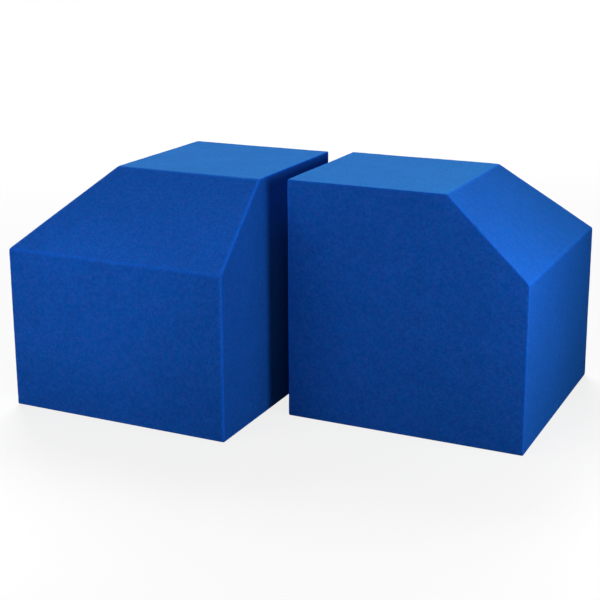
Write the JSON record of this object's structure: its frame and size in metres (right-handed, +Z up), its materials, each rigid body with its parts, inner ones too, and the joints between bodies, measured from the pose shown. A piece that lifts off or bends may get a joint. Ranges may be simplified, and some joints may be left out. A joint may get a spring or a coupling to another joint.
{
  "type": "foam filter blocks",
  "caption": "Loose blue open-cell foam blocks. Each is a cube with neighbouring top edges sliced off at a slope, the slices meeting in a mitred corner.",
  "frame": {"origin": "centre of the pair's bounding box, on the surface the blocks stand on", "axes": "+X along the row from the left block to the right block, +Y towards the back, +Z up"},
  "size_m": [0.631, 0.411, 0.3],
  "materials": {
    "blue_foam": "matte"
  },
  "bodies": {
    "left": {"left_block": "blue_foam"},
    "right": {"right_block": "blue_foam"}
  },
  "joints": [
    {"name": "right_block_slide", "type": "slide", "parent": "left", "child": "right", "axis": [1, 0, 0], "range_m": [-0.03, 0.3]}
  ]
}
